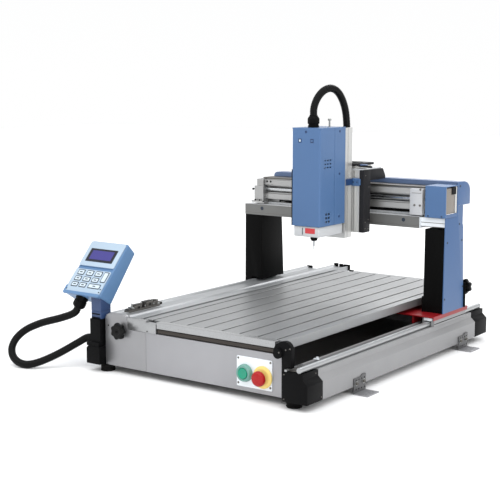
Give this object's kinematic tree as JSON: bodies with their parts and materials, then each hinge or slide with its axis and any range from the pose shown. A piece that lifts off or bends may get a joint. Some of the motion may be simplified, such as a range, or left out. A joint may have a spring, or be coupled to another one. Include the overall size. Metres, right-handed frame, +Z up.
{
  "type": "cnc router",
  "caption": "Desktop gantry milling router with a T-slot table, travelling gantry, cross carriage, vertical spindle head, key pendant and front stop and start buttons.",
  "frame": {"origin": "on the bench, under the middle of the machine without its two hoses", "axes": "+Z up, +Y from the control panel towards the back, +X to the right of an operator who faces the control panel"},
  "size_m": [1.0159, 1.2194, 0.7924],
  "materials": {
    "aluminium": "satin anodised extrusion",
    "bright_metal": "ground and polished",
    "machined_aluminium": "milled, bright",
    "zinc_steel": "zinc plated",
    "roller_steel": "turned, oiled",
    "tool_steel": "turned and hardened",
    "blue_paint": "satin powder coat",
    "blue_plastic": "satin moulding",
    "black_paint": "black anodised",
    "black_steel": "black enamel",
    "black_moulding": "fine grained",
    "white_paint": "white powder coat",
    "white_plastic": "smooth",
    "red_paint": "satin powder coat",
    "cream_paint": "satin enamel",
    "rubber": "matt",
    "hose": "ribbed, matt",
    "green_plastic": "smooth",
    "red_plastic": "smooth",
    "yellow_plastic": "smooth",
    "pale_panel": "printed film over a moulding"
  },
  "bodies": {
    "base": {"front_plate": "aluminium", "rear_plate": "aluminium", "right_rail": "aluminium", "left_rail": "aluminium", "right_guide_rod": "bright_metal", "left_guide_rod": "bright_metal", "cap_front_right": "black_moulding", "cap_front_left": "black_moulding", "cap_rear_right": "black_moulding", "cap_rear_left": "black_moulding", "foot_front_left": "rubber", "foot_front_right": "rubber", "foot_rear_left": "rubber", "foot_rear_right": "rubber", "bench_bracket_front": "zinc_steel", "bench_bracket_rear": "zinc_steel", "table_plank_right": "aluminium", "table_plank_left": "aluminium", "side_band": "aluminium", "front_table_end": "machined_aluminium", "rear_table_end": "machined_aluminium", "band_end_block": "white_paint", "roller_bracket": "black_moulding", "y_motor": "black_steel", "control_plate": "white_plastic", "start_button_guard": "green_plastic", "stop_button_collar": "yellow_plastic", "hold_down_clamp": "zinc_steel", "pendant_base_block": "black_moulding", "pendant_post": "blue_paint", "pendant_hose": "hose"},
    "front_roller": {"front_roller": "roller_steel"},
    "y_screw": {"y_leadscrew": "bright_metal"},
    "start_button": {"start_button": "green_plastic"},
    "stop_button": {"stop_button": "red_plastic"},
    "clamp_knob": {"clamp_knob": "black_moulding"},
    "pendant": {"pendant_case": "blue_plastic", "pendant_faceplate": "pale_panel"},
    "gantry": {"right_leg": "black_paint", "left_leg": "black_paint", "right_leg_cover": "blue_paint", "under_plate": "red_paint", "left_carriage": "aluminium", "right_carriage": "aluminium", "lower_bar": "aluminium", "beam": "aluminium", "x_screw_bearing": "white_paint", "rear_cover": "blue_paint", "motor_cover": "blue_paint", "x_motor": "cream_paint"},
    "leg_knob": {"leg_knob": "black_moulding"},
    "x_screw": {"x_leadscrew": "bright_metal"},
    "carriage": {"carriage_frame": "black_paint", "z_motor": "black_paint", "head_hose": "hose"},
    "z_screw": {"z_leadscrew": "bright_metal"},
    "head": {"head_slide": "machined_aluminium", "head_cover": "blue_paint", "spindle_housing": "white_paint"},
    "spindle": {"spindle_tool": "tool_steel"}
  },
  "joints": [
    {"name": "gantry_slide", "type": "slide", "parent": "base", "child": "gantry", "axis": [0, 1, 0], "range_m": [-0.52, 0.08]},
    {"name": "x_slide", "type": "slide", "parent": "gantry", "child": "carriage", "axis": [1, 0, 0], "range_m": [-0.26, 0.135]},
    {"name": "z_slide", "type": "slide", "parent": "carriage", "child": "head", "axis": [0, 0, 1], "range_m": [-0.125, 0.01], "deforming": ["head_hose"]},
    {"name": "y_screw_spin", "type": "hinge", "parent": "base", "child": "y_screw", "pos_m": [0.0615, -0.032, 0.086], "axis": [0, 1, 0], "continuous": true},
    {"name": "x_screw_spin", "type": "hinge", "parent": "gantry", "child": "x_screw", "pos_m": [0.0015, 0.203, 0.457], "axis": [1, 0, 0], "continuous": true},
    {"name": "z_screw_spin", "type": "hinge", "parent": "carriage", "child": "z_screw", "pos_m": [0.0635, 0.136, 0.46], "axis": [0, 0, 1], "continuous": true},
    {"name": "spindle_spin", "type": "hinge", "parent": "head", "child": "spindle", "pos_m": [0.0655, -0.026, 0.44], "axis": [0, 0, 1], "continuous": true},
    {"name": "front_roller_spin", "type": "hinge", "parent": "base", "child": "front_roller", "pos_m": [0.0845, -0.525, 0.1366], "axis": [1, 0, 0], "continuous": true},
    {"name": "start_press", "type": "slide", "parent": "base", "child": "start_button", "axis": [0, 1, 0], "range_m": [0, 0.0035], "stiffness_N_per_m": 900, "springref_m": -0.001},
    {"name": "stop_press", "type": "slide", "parent": "base", "child": "stop_button", "axis": [0, 1, 0], "range_m": [0, 0.005], "stiffness_N_per_m": 1800, "springref_m": -0.001},
    {"name": "clamp_knob_spin", "type": "hinge", "parent": "base", "child": "clamp_knob", "pos_m": [-0.2335, -0.544, 0.124], "axis": [0, 1, 0], "continuous": true},
    {"name": "leg_knob_spin", "type": "hinge", "parent": "gantry", "child": "leg_knob", "pos_m": [0.3835, 0.319, 0.188], "axis": [0, 1, 0], "continuous": true},
    {"name": "pendant_swivel", "type": "hinge", "parent": "base", "child": "pendant", "pos_m": [-0.32, -0.522, 0.169], "axis": [0, 0, 1], "range_deg": [-20, 45], "deforming": ["pendant_hose"]}
  ],
  "couplings": [
    {"joint": "y_screw_spin", "follows": "gantry_slide", "rad_per_m": 628.32},
    {"joint": "x_screw_spin", "follows": "x_slide", "rad_per_m": 628.32},
    {"joint": "z_screw_spin", "follows": "z_slide", "rad_per_m": 628.32}
  ]
}
